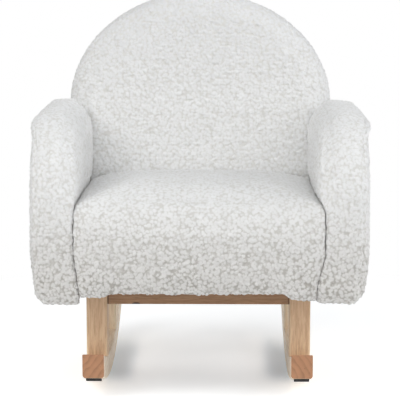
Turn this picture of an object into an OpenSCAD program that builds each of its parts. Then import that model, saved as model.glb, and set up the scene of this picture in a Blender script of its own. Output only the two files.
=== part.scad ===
// Child's rocking chair: an upholstered seat, two arms and an arched back on a wooden rocker base.
// The chair faces -Y, left is -X, and the origin is on the floor under the middle of the chair.
// Each upholstered block is a pile-fabric cover over foam on a wooden frame or panel.

/* [Overall] */
// Width over both arms
overall_w = 518; // [480:1:580]
// Depth from the seat front to the rear tips of the rockers
overall_d = 516; // [490:1:580]
// Height from the floor to the top of the back
overall_h = 608; // [570:1:680]

/* [Rockers] */
// Radius of the lower edge
rocker_r = 680; // [560:10:900]
// Middle of the floor contact, behind the middle of the chair
contact_y = -8; // [-30:1:15]
// Length of the flat under each rocker, on which the chair stands still
floor_flat = 44; // [20:1:60]
// How far the front tips sit behind the seat front
rocker_set = 38; // [15:1:60]
// Width of a rocker
rocker_w = 33; // [28:1:40]
// Height of a rocker
rocker_h = 35; // [30:1:45]
// Distance between the middles of the rockers
rocker_gauge = 319; // [300:1:325]
// Rounding along the lower edges
rocker_low_round = 4; // [2:0.5:8]
// Rounding along the upper edges
rocker_top_round = 1.5; // [1:0.5:4]

/* [Stop pads] */
// Width of a pad
pad_w = 23; // [15:1:26]
// Length of a pad
pad_l = 22; // [12:1:40]
// Thickness of a pad
pad_t = 3.5; // [2:0.5:5]
// Distance from a pad to the rocker tip
pad_set = 4; // [2:1:20]
// Depth of the flat housing that a pad is glued into
pad_housing = 1; // [0.5:0.1:2]

/* [Base frame] */
// Height of the base, floor to the top of its rails
base_h = 166; // [150:1:180]
// Width of a leg
leg_w = 33; // [28:1:38]
// Depth of a leg
leg_d = 35; // [28:1:42]
// Rounding of the leg edges
leg_round = 3; // [1:0.5:6]
// Distance from the front tips of the rockers to the front legs
front_leg_set = 85; // [60:1:110]
// Distance from the rear tips of the rockers to the rear legs
rear_leg_set = 138; // [110:1:160]
// Height of the rails
rail_h = 36; // [30:1:42]
// Thickness of the front and rear rails
cross_rail_t = 20; // [16:1:24]
// Thickness of the side rails
side_rail_t = 26; // [22:1:28]
// How far the front rail sits behind the leg faces
rail_recess = 6; // [2:1:10]
// Diameter of a dowel
dowel_d = 8; // [6:1:10]
// Length of a dowel in each of the two pieces that it joins
dowel_hold = 14; // [10:1:16]
// Distance between the two dowels of a joint
dowel_pitch = 13; // [12:1:16]

/* [Fabric and foam] */
// Thickness of the cover with its pile
cover_t = 6; // [4:0.5:8]
// Wadding between the seat frame and its cover
wadding_t = 4; // [2:0.5:6]
// Foam on the front of the seat frame
front_pad = 20; // [12:1:28]

/* [Seat] */
// Width of the seat block
seat_w = 370; // [350:1:390]
// Height of the crown above the floor
seat_crown_z = 331; // [300:1:350]
// Rise of the crown above the rounded edge
seat_crown = 18; // [8:1:26]
// Width of the rounded top edge
seat_edge_w = 45; // [30:1:60]
// Height of the rounded top edge
seat_edge_h = 52; // [35:1:65]
// Rounding of the bottom edge
seat_low_round = 14; // [8:1:20]
// Rounding of the front corners in plan
seat_corner = 26; // [12:1:34]
// Rounding of the rear corners in plan
seat_rear_corner = 8; // [4:1:16]
// How far the front face bows out in the middle
seat_bow = 4; // [0:0.5:8]
// Height of the seat frame rails
frame_h = 56; // [45:1:64]
// Thickness of the seat frame rails
frame_t = 20; // [18:1:24]
// Thickness of the seat deck
deck_t = 9; // [6:1:12]
// Leg of a triangular corner block
block_leg = 38; // [28:1:46]
// How far a corner block stops short of the frame's lower edge
block_short = 10; // [4:1:20]
// Width of the cover's turned-in edge under the seat
flange_w = 42; // [38:1:60]

/* [Arms] */
// Height of the arms above the floor
arm_top_z = 438; // [400:1:470]
// Height of the underside of the arms
arm_low_z = 150; // [135:1:160]
// Radius of the front top corner
arm_front_r = 140; // [80:5:160]
// Radius of the other three corners
arm_corner_r = 26; // [20:1:40]
// Rounding of the arm edges
arm_edge_r = 30; // [22:1:33]
// Swell of the arm faces
arm_swell = 2; // [0:0.5:4]
// How far the arms sit behind the seat front
arm_set = 4; // [0:1:12]
// Thickness of the panel inside an arm
arm_panel_t = 15; // [12:1:18]
// Distance from the arm outline to its panel
arm_panel_set = 24; // [16:1:32]

/* [Back] */
// Width of the back
back_w = 440; // [400:1:470]
// How far the top of the back stays ahead of the rear tips of the rockers
back_set = 30; // [0:1:60]
// Thickness of the back at its edges
back_t = 82; // [74:1:92]
// Lean of the back from upright, in degrees
back_lean = 10; // [5:0.5:14]
// Height of the arched top
back_arch = 187; // [150:1:210]
// Rounding of the back edges
back_edge_r = 35; // [24:1:36]
// Rounding of the lower corners
back_corner_r = 44; // [38:1:60]
// Swell of the front face
back_swell = 4; // [0:0.5:6]
// Thickness of the arched frame
back_frame_t = 18; // [15:1:21]
// Width of the arched frame
back_frame_w = 48; // [40:1:60]
// Distance from the back outline to its frame
back_frame_set = 22; // [18:1:28]
// Front face of the arched frame, from the middle of the back
back_frame_front = 4; // [0:1:8]
// Width of a webbing strap
strap_w = 50; // [30:5:60]
// Thickness of a webbing strap
strap_t = 1.4; // [1:0.2:2]
// Distance between the webbing straps
strap_pitch = 74; // [65:1:90]

/* [Fasteners] */
// Diameter of the bolts
bolt_d = 6; // [5:1:8]
// Diameter of a bolt head
head_d = 11; // [9:1:12]
// Height of a bolt head
head_h = 4; // [3:0.5:5]
// Diameter of a washer
washer_d = 12.5; // [11:0.5:14]
// Thickness of a washer
washer_t = 1.2; // [0.8:0.2:2]
// Outer diameter of a threaded insert or tee-nut barrel
insert_d = 9; // [8:0.5:10]
// Length of a threaded insert
insert_l = 15; // [10:1:18]
// Diameter of a tee-nut flange
flange_d = 19; // [15:1:22]
// Thickness of a tee-nut flange
nut_flange_t = 1.5; // [1:0.5:2]
// Length of a tee-nut barrel
barrel_l = 10; // [8:1:11]
// Depth of the counterbores under the side rails
counterbore = 8; // [7:1:10]
// Distance from the front end of a side rail to its front bolt
base_bolt_front = 24.5; // [22:0.5:50]
// Distance from the rear rail of the seat frame to the rear base bolts
base_bolt_rear = 15; // [10:1:40]
// Distance from the front rail of the seat frame to the front arm bolts
arm_bolt_front = 78; // [50:1:90]
// Distance from the rear rail of the seat frame to the rear arm bolts
arm_bolt_rear = 64; // [50:1:75]
// Height of the arm bolts above the frame's lower edge
arm_bolt_rise = 32; // [28:1:40]
// Distance between the two outer bolts of the back
back_bolt_pitch = 210; // [120:5:220]
// Height of the back bolts above the lower edge of the back
back_bolt_v = 36; // [34:1:40]

/* [Clearances] */
// Glue line between wooden pieces
glue = 0.1; // [0.05:0.05:0.2]
// Gap between soft pieces
soft_gap = 0.3; // [0.2:0.1:0.6]
// Gap all round a bolt in its hole
bolt_gap = 0.3; // [0.2:0.1:0.6]
// Gap all round a bolt in its thread
thread_gap = 0.05; // [0.02:0.01:0.1]
// Thickness of the dust cover
dust_t = 0.8; // [0.5:0.1:1.5]

/* [Hidden] */
$fn = 48;

beech = [0.80, 0.66, 0.52];
birch = [0.86, 0.76, 0.60];
plywood = [0.78, 0.66, 0.48];
fleece = [0.93, 0.92, 0.90];
foam_tint = [0.95, 0.90, 0.70];
webbing_tint = [0.30, 0.30, 0.32];
steel = [0.62, 0.63, 0.65];
brass_tint = [0.80, 0.66, 0.34];
black = [0.08, 0.08, 0.08];

// A length beyond any of the chair's own, for cutting tools
far = 2000;
// How far, in mm or degrees, a cutting tool goes past what it cuts
past = 1;
sides = [-1, 1];

// Rockers
arc_fn = 256;
centre_z = sqrt(pow(rocker_r, 2) - pow(floor_flat / 2, 2));
rocker_front = overall_d / 2 - rocker_set;
rocker_rear = overall_d / 2;
rocker_inner_r = rocker_r - rocker_h;
tip_reach = max(rocker_front + contact_y, rocker_rear - contact_y);
sweep_half = asin(tip_reach / rocker_inner_r) + past;
pad_mids = [pad_set + pad_l / 2 - rocker_front, rocker_rear - pad_set - pad_l / 2];
function rocker_top(y) = centre_z - sqrt(pow(rocker_inner_r, 2) - pow(y - contact_y, 2));

// Base frame
leg_low = rocker_top(contact_y) - past;
front_leg_y = rocker_front - front_leg_set;
rear_leg_y = rocker_rear - rear_leg_set;
front_leg_mid = -front_leg_y + leg_d / 2;
rear_leg_mid = rear_leg_y - leg_d / 2;
leg_mids = [front_leg_mid, rear_leg_mid];
leg_inner_x = rocker_gauge / 2 - leg_w / 2;
front_rail_mid = -front_leg_y + rail_recess + cross_rail_t / 2;
rear_rail_mid = rear_leg_y - rail_recess - cross_rail_t / 2;
rail_mids = [front_rail_mid, rear_rail_mid];
side_rail_front = -front_leg_y + leg_d + glue;
side_rail_rear = rear_leg_y - leg_d - glue;
rail_low = base_h - rail_h;
rail_dowel_zs = [for (s = sides) base_h - rail_h / 2 + s * dowel_pitch / 2];
dowel_hole_r = dowel_d / 2 + glue;
dowel_end_gap = 0.5;

// Back, in its own frame: x across, y through its thickness, z up along the lean
edge_flat = back_t / 2 - back_edge_r;
back_z = base_h + soft_gap + back_edge_r * (1 - cos(back_lean)) + edge_flat * sin(back_lean);
back_rise = overall_h - back_z - back_edge_r - edge_flat * sin(back_lean);
back_l = back_edge_r + back_rise / cos(back_lean);
back_y = overall_d / 2 - back_set - back_edge_r - edge_flat * cos(back_lean) - back_rise * tan(back_lean);
// Y of the plane at depth t through the back, at height z
function lean_y(z, t) = back_y + (z - back_z) * tan(back_lean) + t / cos(back_lean);

// Seat block
front_y = -overall_d / 2;
seat_z = base_h + dust_t + 2 * glue;
seat_wall_z = seat_crown_z - seat_crown - seat_edge_h;
seat_rear = back_t / 2 + back_swell + soft_gap;
seat_core = seat_rear + cover_t + wadding_t;
frame_x = seat_w / 2 - cover_t - wadding_t;
frame_front = front_y + seat_bow + cover_t + front_pad;
frame_low = seat_z + cover_t + glue;
frame_top = frame_low + frame_h;
rear_rail_front = seat_core + frame_t;
deck_top = frame_top + glue + deck_t;
block_h = frame_h - block_short;

// Arms, each in its own frame: x out from the middle of the arm
arm_inner_x = seat_w / 2 + soft_gap;
arm_t = overall_w / 2 - arm_inner_x;
arm_mid_x = arm_inner_x + arm_t / 2;
arm_body_t = arm_t - 2 * arm_swell;
arm_front = front_y + arm_set;
arm_rear = back_t / 2 + soft_gap;

// Fasteners
base_bolt_x = (rocker_gauge / 2 + frame_x - frame_t / 2) / 2;
base_bolt_ys = [side_rail_front + base_bolt_front, lean_y(frame_low, -rear_rail_front) - base_bolt_rear];
arm_bolt_z = frame_low + arm_bolt_rise;
arm_bolt_ys = [
    frame_front + frame_t + arm_bolt_front,
    lean_y(arm_bolt_z, -rear_rail_front) - arm_bolt_rear
];
back_bolt_xs = [for (s = [-1, 0, 1]) s * back_bolt_pitch / 2];
bolt_hole_r = bolt_d / 2 + bolt_gap;
thread_r = bolt_d / 2 + thread_gap;
// How far the tip of a bolt stops short of the end of its thread
tip_short = 1;

// Outlines
face_rings = 3;

function unit(v) = v / norm(v);

// Arc that rounds corner q between p and s, after all edges move in by e
function fillet(p, q, s, r, e, n) =
    let (
        into = unit(q - p),
        out = unit(s - q),
        half = acos(-into * out) / 2,
        round_r = max(r - e, e / 3),
        centre = q + unit(out - into) * (e + round_r) / sin(half),
        from = atan2(-into[0], into[1]),
        turn = acos(into * out)
    )
    [for (i = [0:n]) centre + round_r * [cos(from + turn * i / n), sin(from + turn * i / n)]];

// Closed outline through rounded corners; mids[i] points are added on the edge after corner i
function outline(corners, radii, e, segments, mids) =
    let (
        n = len(corners),
        arcs = [for (i = [0:n - 1])
            fillet(corners[(i + n - 1) % n], corners[i], corners[(i + 1) % n], radii[i], e, segments[i])]
    )
    [for (i = [0:n - 1])
        let (a = arcs[i][segments[i]], b = arcs[(i + 1) % n][0])
        each concat(arcs[i], [for (k = [1:1:mids[i]]) a + (b - a) * k / (mids[i] + 1)])];

// Stations [inset, depth] across a slab with rounded edges and a swell on its faces
function slab_stations(t, edge_r, swell, reach, e, n) =
    let (
        r = edge_r - e,
        flat = t / 2 - edge_r,
        rim = [for (j = [0:n]) [e + r * (1 - sin(90 * j / n)), flat + r * cos(90 * j / n)]],
        face = [for (k = [face_rings:-1:1])
            let (u = k / face_rings)
            [edge_r + (reach - edge_r) * u, t / 2 - e + swell * (1 - pow(1 - u, 2))]],
        half = concat(face, rim)
    )
    concat([for (s = half) [s[0], -s[1]]], [for (i = [len(half) - 1:-1:0]) half[i]]);

function middle(points) = [for (axis = [0:2]) sum([for (p = points) p[axis]]) / len(points)];
function sum(v, i = 0) = i < len(v) ? v[i] + sum(v, i + 1) : 0;

// Closed skin through rings of equal length, with a flat fan of triangles on each end
module loft(rings) {
    n = len(rings[0]);
    last = (len(rings) - 1) * n;
    first_mid = last + n;
    last_mid = first_mid + 1;
    polyhedron(
        points = [
            for (ring = rings) each ring,
            middle(rings[0]),
            middle(rings[len(rings) - 1])
        ],
        faces = [
            for (i = [0:n - 1]) [first_mid, i, (i + 1) % n],
            for (k = [0:len(rings) - 2], i = [0:n - 1])
                let (a = k * n + i, b = k * n + (i + 1) % n)
                each [[a, b + n, b], [a, a + n, b + n]],
            for (i = [0:n - 1]) [last_mid, last + (i + 1) % n, last + i]
        ]
    );
}

// Arm outline in side view, [y, z], from the front bottom corner
arm_corners = [
    [arm_front, arm_low_z],
    [lean_y(arm_low_z, -arm_rear), arm_low_z],
    [lean_y(arm_top_z, -arm_rear), arm_top_z],
    [arm_front, arm_top_z]
];
arm_radii = [arm_corner_r, arm_corner_r, arm_corner_r, arm_front_r];
arm_reach = 100;
function arm_outline(e, fine) =
    outline(arm_corners, arm_radii, e, [2 * fine, 2 * fine, 2 * fine, 5 * fine], [3, 2, 2, 2]);

// Back outline in its own plane, [x, z]: straight sides under a half ellipse
back_reach = 150;
function back_outline(e, fine) =
    let (
        a = back_w / 2 - e,
        b = back_arch - e,
        spring = back_l - back_arch,
        r = max(back_corner_r - e, e / 3),
        low = [for (s = [-1, 1], i = [0:2 * fine])
            let (angle = (s < 0 ? 180 : 270) + 45 * i / fine)
            [s * (a - r) + r * cos(angle), e + r + r * sin(angle)]],
        top = [for (i = [0:10 * fine])
            let (angle = 18 * i / fine)
            [a * cos(angle), spring + b * sin(angle)]]
    )
    concat(low, top);

// Seat outline in plan at height z; its rear edge follows the lean of the back
seat_reach = 120;
seat_front_mids = 5;
function seat_outline(e, z, fine) =
    let (
        corner_y = front_y + seat_bow,
        rear_y = lean_y(z, -seat_rear),
        half = seat_w / 2,
        plain = outline(
            [[-half, corner_y], [half, corner_y], [half, rear_y], [-half, rear_y]],
            [seat_corner, seat_corner, seat_rear_corner, seat_rear_corner],
            e, [2 * fine, 2 * fine, fine, fine], [seat_front_mids, 3, 3, 3]
        )
    )
    [for (p = plain)
        p[1] < corner_y + e + seat_corner
            ? [p[0], p[1] - seat_bow * max(0, 1 - pow(p[0] / (half - e), 2))]
            : p];

// Seat block, with every face moved in by e
module seat_form(e, fine) {
    low_r = e > 0 ? wadding_t / 2 : seat_low_round;
    edge_w = seat_edge_w - e;
    edge_h = seat_edge_h - e;
    steps = 3 * fine;
    low = [for (i = [0:fine])
        let (angle = 90 * i / fine)
        [e + low_r * (1 - sin(angle)), seat_z + e + low_r * (1 - cos(angle))]];
    edge = [for (i = [0:steps])
        let (angle = 90 * i / steps)
        [e + edge_w * (1 - cos(angle)), seat_wall_z + edge_h * sin(angle)]];
    crown = [for (k = [1:face_rings])
        let (u = k / face_rings)
        [seat_edge_w + (seat_reach - seat_edge_w) * u, seat_wall_z + edge_h + seat_crown * (1 - pow(1 - u, 2))]];
    loft([for (s = concat(low, edge, crown))
        [for (p = seat_outline(s[0], s[1], fine)) [p[0], p[1], s[1]]]]);
}

// Arm block about the middle of its thickness, with every face moved in by e
module arm_form(e, fine) {
    loft([for (s = slab_stations(arm_body_t, arm_edge_r, arm_swell, arm_reach, e, 2 * fine))
        [for (p = arm_outline(s[0], fine)) [s[1], p[0], p[1]]]]);
}

// Back block in its own frame, with every face moved in by e; only its front face swells
module back_form(e, fine) {
    rear = back_t / 2 - e;
    loft([for (s = slab_stations(back_t, back_edge_r, back_swell, back_reach, e, 2 * fine))
        [for (p = back_outline(s[0], fine)) [p[0], min(-s[1], rear), p[1]]]]);
}

// Puts its children on an arm: side -1 is the left one
module on_arm(side) {
    mirror([side < 0 ? 1 : 0, 0, 0]) translate([arm_mid_x, 0, 0]) children();
}

// Puts its children in the leaning frame of the back
module on_back() {
    translate([0, back_y, back_z]) rotate([-back_lean, 0, 0]) children();
}

// Everything behind the plane at depth t through the back
module behind(t) {
    on_back() translate([-far / 2, t, -far / 2]) cube(far);
}

// Plate between depths t0 and t1 of the back
module back_layer(t0, t1) {
    translate([-far / 2, t0, -far / 2]) cube([far, t1 - t0, far]);
}

// Rounded bar section: x from 0 to h, corner radius r0 at x = 0 and r1 at x = h
bar_steps = 4;
module bar_section(w, h, r0, r1) {
    polygon([for (i = [0:3])
        let (
            outer = i == 1 || i == 2,
            r = outer ? r1 : r0,
            centre = [outer ? h - r1 : r0, (i < 2 ? -1 : 1) * (w / 2 - r)]
        )
        for (k = [0:bar_steps])
            let (angle = 180 + 90 * (i + k / bar_steps))
            centre + r * [cos(angle), sin(angle)]]);
}

// Cylinder about the rockers' own axis
module rocker_cylinder(r, x, w) {
    translate([x, contact_y, centre_z]) rotate([0, 90, 0]) cylinder(r = r, h = w, center = true, $fn = arc_fn);
}

// Upright rods through the joint between a leg and its rocker
module leg_dowel_rods(side, y_mid, r, extra) {
    for (s = sides) {
        y = y_mid + s * dowel_pitch / 2;
        translate([side * rocker_gauge / 2, y, rocker_top(y) - dowel_hold - extra])
            cylinder(r = r, h = 2 * (dowel_hold + extra));
    }
}

// Level rods through the joint between a cross rail and a leg
module cross_dowel_rods(side, y, r, extra) {
    for (z = rail_dowel_zs)
        translate([side * leg_inner_x, y, z]) rotate([0, 90, 0])
            cylinder(r = r, h = 2 * (dowel_hold + extra), center = true);
}

// Level rods through the joint between a side rail and a leg
module side_dowel_rods(side, y, r, extra) {
    for (z = rail_dowel_zs)
        translate([side * rocker_gauge / 2, y, z]) rotate([90, 0, 0])
            cylinder(r = r, h = 2 * (dowel_hold + extra), center = true);
}

// Bolt holes of the base, upright
module base_bolt_holes(side, r, z0, z1) {
    for (y = base_bolt_ys) translate([side * base_bolt_x, y, z0]) cylinder(r = r, h = z1 - z0);
}

// Bolt holes of the arms, level
module arm_bolt_holes(side, r, x0, x1) {
    for (y = arm_bolt_ys) mirror([side < 0 ? 1 : 0, 0, 0])
        translate([x0, y, arm_bolt_z]) rotate([0, 90, 0]) cylinder(r = r, h = x1 - x0);
}

// Bolt holes of the back, square to its lean, between depths t0 and t1
module back_bolt_holes(r, t0, t1) {
    on_back() for (x = back_bolt_xs)
        translate([x, t1, back_bolt_v]) rotate([90, 0, 0]) cylinder(r = r, h = t1 - t0);
}

// Base

module rocker(side) {
    color(beech) difference() {
        intersection() {
            translate([side * rocker_gauge / 2, contact_y, centre_z]) rotate([0, 90, 0])
                rotate([0, 0, -sweep_half]) rotate_extrude(angle = 2 * sweep_half, $fn = arc_fn)
                    translate([rocker_inner_r, 0])
                        bar_section(rocker_w, rocker_h, rocker_top_round, rocker_low_round);
            translate([-far / 2, -rocker_front, 0]) cube([far, rocker_front + rocker_rear, far]);
        }
        for (y = leg_mids) leg_dowel_rods(side, y, dowel_hole_r, dowel_end_gap);
        for (y = pad_mids) pad_box(side, y, pad_w + 2 * glue, pad_l + 2 * glue, -pad_housing, pad_t);
    }
}

module leg(side, y_mid, rail_mid, inner_y) {
    color(beech) difference() {
        intersection() {
            translate([side * rocker_gauge / 2, y_mid - leg_d / 2, leg_low])
                linear_extrude(base_h - leg_low) rotate(90) bar_section(leg_w, leg_d, leg_round, leg_round);
            rocker_cylinder(rocker_inner_r - glue, side * rocker_gauge / 2, 2 * leg_w);
        }
        leg_dowel_rods(side, y_mid, dowel_hole_r, dowel_end_gap);
        cross_dowel_rods(side, rail_mid, dowel_hole_r, dowel_end_gap);
        side_dowel_rods(side, inner_y, dowel_hole_r, dowel_end_gap);
    }
}

module front_leg(side) {
    leg(side, front_leg_mid, front_rail_mid, -front_leg_y + leg_d);
}

module rear_leg(side) {
    leg(side, rear_leg_mid, rear_rail_mid, rear_leg_y - leg_d);
}

module cross_rail(y_mid) {
    half = leg_inner_x - glue;
    color(beech) difference() {
        translate([-half, y_mid - cross_rail_t / 2, rail_low]) cube([2 * half, cross_rail_t, rail_h]);
        for (side = sides) cross_dowel_rods(side, y_mid, dowel_hole_r, dowel_end_gap);
    }
}

module side_rail(side) {
    x = side * rocker_gauge / 2;
    color(beech) difference() {
        translate([x - side_rail_t / 2, side_rail_front, rail_low])
            cube([side_rail_t, side_rail_rear - side_rail_front, rail_h]);
        for (y = [side_rail_front - glue, side_rail_rear + glue])
            side_dowel_rods(side, y, dowel_hole_r, dowel_end_gap);
        base_bolt_holes(side, bolt_hole_r, rail_low - past, base_h + past);
        base_bolt_holes(side, washer_d / 2 + bolt_gap, rail_low - past, rail_low + counterbore);
    }
}

module leg_dowels() {
    color(birch) for (side = sides, y = leg_mids) leg_dowel_rods(side, y, dowel_d / 2, 0);
}

module rail_dowels() {
    color(birch) for (side = sides) {
        for (y = rail_mids) cross_dowel_rods(side, y, dowel_d / 2, 0);
        side_dowel_rods(side, -front_leg_y + leg_d, dowel_d / 2, 0);
        side_dowel_rods(side, rear_leg_y - leg_d, dowel_d / 2, 0);
    }
}

// Box at the lower edge of a rocker, square to its curve, from z0 to z1 beyond that edge
module pad_box(side, y, w, l, z0, z1) {
    translate([side * rocker_gauge / 2, contact_y, centre_z]) rotate([asin((y - contact_y) / rocker_r), 0, 0])
        translate([-w / 2, -l / 2, -rocker_r - z1]) cube([w, l, z1 - z0]);
}

module stop_pads() {
    color(black) for (side = sides, y = pad_mids) pad_box(side, y, pad_w, pad_l, glue - pad_housing, pad_t);
}

// Bolt along +Z: the washer lies on z = 0 from below, the shank ends at z = reach
module bolt(reach) {
    color(steel) {
        translate([0, 0, -washer_t - head_h]) cylinder(d = head_d, h = head_h);
        translate([0, 0, -washer_t - past]) cylinder(d = bolt_d, h = reach + washer_t + past);
    }
}

module washer() {
    color(steel) translate([0, 0, -washer_t]) difference() {
        cylinder(d = washer_d, h = washer_t);
        translate([0, 0, -past]) cylinder(r = bolt_hole_r, h = washer_t + 2 * past);
    }
}

// Tee nut along +Z: its flange starts at z = 0 and its barrel runs down
module tee_nut() {
    color(steel) difference() {
        union() {
            cylinder(d = flange_d, h = nut_flange_t);
            translate([0, 0, -barrel_l]) cylinder(d = insert_d, h = barrel_l + past);
        }
        translate([0, 0, -barrel_l - past]) cylinder(r = thread_r, h = barrel_l + nut_flange_t + 2 * past);
    }
}

base_seat_z = rail_low + counterbore;
insert_z = frame_low + glue;
base_reach = insert_z + insert_l - tip_short - base_seat_z;

module at_base_bolts() {
    for (side = sides, y = base_bolt_ys) translate([side * base_bolt_x, y, base_seat_z]) children();
}

module base_bolts() {
    at_base_bolts() bolt(base_reach);
}

module base_washers() {
    at_base_bolts() washer();
}

module base_inserts() {
    color(brass_tint) for (side = sides, y = base_bolt_ys)
        translate([side * base_bolt_x, y, insert_z]) difference() {
            cylinder(d = insert_d, h = insert_l);
            translate([0, 0, -past]) cylinder(r = thread_r, h = insert_l + 2 * past);
        }
}

// Seat

module seat_frame_front() {
    color(birch) translate([-frame_x, frame_front, frame_low]) cube([2 * frame_x, frame_t, frame_h]);
}

// Leaning rear rail, cut level above and below
module seat_frame_rear() {
    color(birch) difference() {
        intersection() {
            on_back() translate([-frame_x, -rear_rail_front, -far / 2]) cube([2 * frame_x, frame_t, far]);
            translate([-far / 2, -far / 2, frame_low]) cube([far, far, frame_h]);
        }
        back_bolt_holes(bolt_hole_r, -rear_rail_front - past, -seat_core + past);
    }
}

module seat_frame_side(side) {
    start = frame_front + frame_t + glue;
    x = side * (frame_x - frame_t / 2);
    color(birch) difference() {
        translate([x - frame_t / 2, start, frame_low]) cube([frame_t, far / 2, frame_h]);
        behind(-rear_rail_front - glue);
        base_bolt_holes(side, insert_d / 2 + glue, frame_low - past, insert_z + insert_l + glue);
        arm_bolt_holes(side, bolt_hole_r, frame_x - frame_t - past, frame_x + past);
    }
}

// Triangular block in the corner of the seat frame
module corner_block(side, y, turn) {
    x = frame_x - frame_t - glue;
    translate([side * x, y, frame_top - block_h - glue])
        linear_extrude(block_h) polygon([[0, 0], [-side * block_leg, 0], [0, turn * block_leg]]);
}

module seat_corner_blocks() {
    rear_y = lean_y(frame_low, -rear_rail_front - glue);
    color(birch) for (side = sides) {
        corner_block(side, frame_front + frame_t + glue, 1);
        difference() {
            corner_block(side, lean_y(frame_top, -rear_rail_front), -1);
            behind(-rear_rail_front - glue);
        }
    }
}

module seat_deck() {
    color(plywood) difference() {
        translate([-frame_x, frame_front, frame_top + glue]) cube([2 * frame_x, far / 2, deck_t]);
        behind(-seat_core);
    }
}

// Space that the frame and the deck take out of the foam
module frame_space() {
    difference() {
        translate([-frame_x - glue, frame_front - glue, seat_z - past])
            cube([2 * (frame_x + glue), far / 2, deck_top + glue - seat_z + past]);
        behind(-seat_core + glue);
    }
}

module seat_foam() {
    color(foam_tint) difference() {
        seat_form(cover_t + soft_gap, 1);
        frame_space();
        for (side = sides) arm_bolt_holes(side, bolt_hole_r, frame_x - past, arm_mid_x);
        back_bolt_holes(bolt_hole_r, -seat_core - past, 0);
    }
}

module seat_cover() {
    inner_x = seat_w / 2 - flange_w;
    open_front = frame_front + frame_t;
    color(fleece) difference() {
        seat_form(0, 2);
        seat_form(cover_t, 1);
        difference() {
            translate([-inner_x, open_front, seat_z - past])
                cube([2 * inner_x, far / 2, cover_t + 2 * past]);
            behind(-rear_rail_front);
        }
        for (side = sides) {
            base_bolt_holes(side, bolt_hole_r, seat_z - past, frame_low + past);
            arm_bolt_holes(side, bolt_hole_r, frame_x, arm_mid_x);
        }
        back_bolt_holes(bolt_hole_r, -seat_core - past, 0);
    }
}

module dust_cover() {
    inset = seat_low_round + past;
    color(black) difference() {
        translate([inset - seat_w / 2, front_y + seat_bow + inset, base_h + glue])
            cube([seat_w - 2 * inset, far / 2, dust_t]);
        behind(-seat_rear - inset);
        for (side = sides) base_bolt_holes(side, bolt_hole_r, base_h - past, seat_z + past);
    }
}

// Back

frame_face = -back_frame_front;
frame_rear = back_frame_t - back_frame_front;
strap_face = frame_face - glue - strap_t;
cushion_face = strap_face - glue;
strap_mid_v = back_frame_set + back_frame_w + (back_l - back_arch) / 2;

// Plate with the back's outline moved in by e, between depths t0 and t1
module back_plate(e, t0, t1) {
    translate([0, t1, 0]) rotate([90, 0, 0]) linear_extrude(t1 - t0) polygon(back_outline(e, 3));
}

module back_frame() {
    inner = back_frame_set + back_frame_w;
    bar_v = strap_mid_v + strap_pitch / 2;
    color(plywood) difference() {
        on_back() {
            difference() {
                back_plate(back_frame_set, frame_face, frame_rear);
                back_plate(inner, frame_face - past, frame_rear + past);
            }
            translate([-back_w / 2 + inner - past, frame_face, bar_v - back_frame_w / 2])
                cube([back_w - 2 * inner + 2 * past, back_frame_t, back_frame_w]);
        }
        back_bolt_holes(insert_d / 2 + glue, frame_face - past, frame_rear + past);
    }
}

module back_webbing() {
    half = back_w / 2 - back_frame_set - back_frame_w / 4;
    color(webbing_tint) on_back() for (i = [-1:1])
        translate([-half, strap_face, strap_mid_v + i * strap_pitch - strap_w / 2])
            cube([2 * half, strap_t, strap_w]);
}

module back_foam() {
    color(foam_tint) difference() {
        on_back() intersection() {
            back_form(cover_t + soft_gap, 1);
            back_layer(-far / 2, cushion_face);
        }
        back_bolt_holes(bolt_hole_r, -back_t, 0);
    }
}

// Wadding over the rear of the frame and round its edge
module back_wadding() {
    color(fleece) on_back() difference() {
        intersection() {
            back_form(cover_t + soft_gap, 1);
            back_layer(cushion_face + glue, far / 2);
        }
        back_plate(back_frame_set - glue, -back_t, frame_rear + nut_flange_t + glue);
    }
}

module back_cover() {
    color(fleece) difference() {
        on_back() difference() {
            back_form(0, 2);
            back_form(cover_t, 1);
        }
        back_bolt_holes(bolt_hole_r, -back_t, cushion_face);
    }
}

back_reach_t = rear_rail_front + frame_rear - tip_short;

// Children along the back bolts, with +Z running from the seat frame into the back
module at_back_bolts(t) {
    on_back() for (x = back_bolt_xs) translate([x, t, back_bolt_v]) rotate([-90, 0, 0]) children();
}

module back_bolts() {
    at_back_bolts(-rear_rail_front) bolt(back_reach_t);
}

module back_washers() {
    at_back_bolts(-rear_rail_front) washer();
}

module back_tee_nuts() {
    at_back_bolts(frame_rear) tee_nut();
}

// Arms

module arm_plate(e, x0, x1) {
    translate([x0, 0, 0]) rotate([90, 0, 90]) linear_extrude(x1 - x0) polygon(arm_outline(e, 3));
}

panel_x = arm_panel_t / 2;

module arm_panel(side) {
    color(plywood) difference() {
        on_arm(side) arm_plate(arm_panel_set, -panel_x, panel_x);
        arm_bolt_holes(side, insert_d / 2 + glue, arm_inner_x, overall_w / 2);
    }
}

module arm_foam_inner(side) {
    color(foam_tint) difference() {
        on_arm(side) intersection() {
            arm_form(cover_t + soft_gap, 1);
            translate([-far - panel_x - glue, -far / 2, -far / 2]) cube(far);
        }
        arm_bolt_holes(side, bolt_hole_r, arm_inner_x - past, overall_w / 2);
    }
}

// Foam over the outer face of the panel and round its edge
module arm_foam_outer(side) {
    color(foam_tint) on_arm(side) difference() {
        intersection() {
            arm_form(cover_t + soft_gap, 1);
            translate([-panel_x, -far / 2, -far / 2]) cube(far);
        }
        arm_plate(arm_panel_set - glue, -arm_t, panel_x + nut_flange_t + glue);
    }
}

module arm_cover(side) {
    color(fleece) difference() {
        on_arm(side) difference() {
            arm_form(0, 2);
            arm_form(cover_t, 1);
        }
        arm_bolt_holes(side, bolt_hole_r, arm_inner_x - past, arm_mid_x);
    }
}

arm_seat_x = frame_x - frame_t;
arm_reach_x = arm_mid_x + panel_x - arm_seat_x - tip_short;

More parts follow.
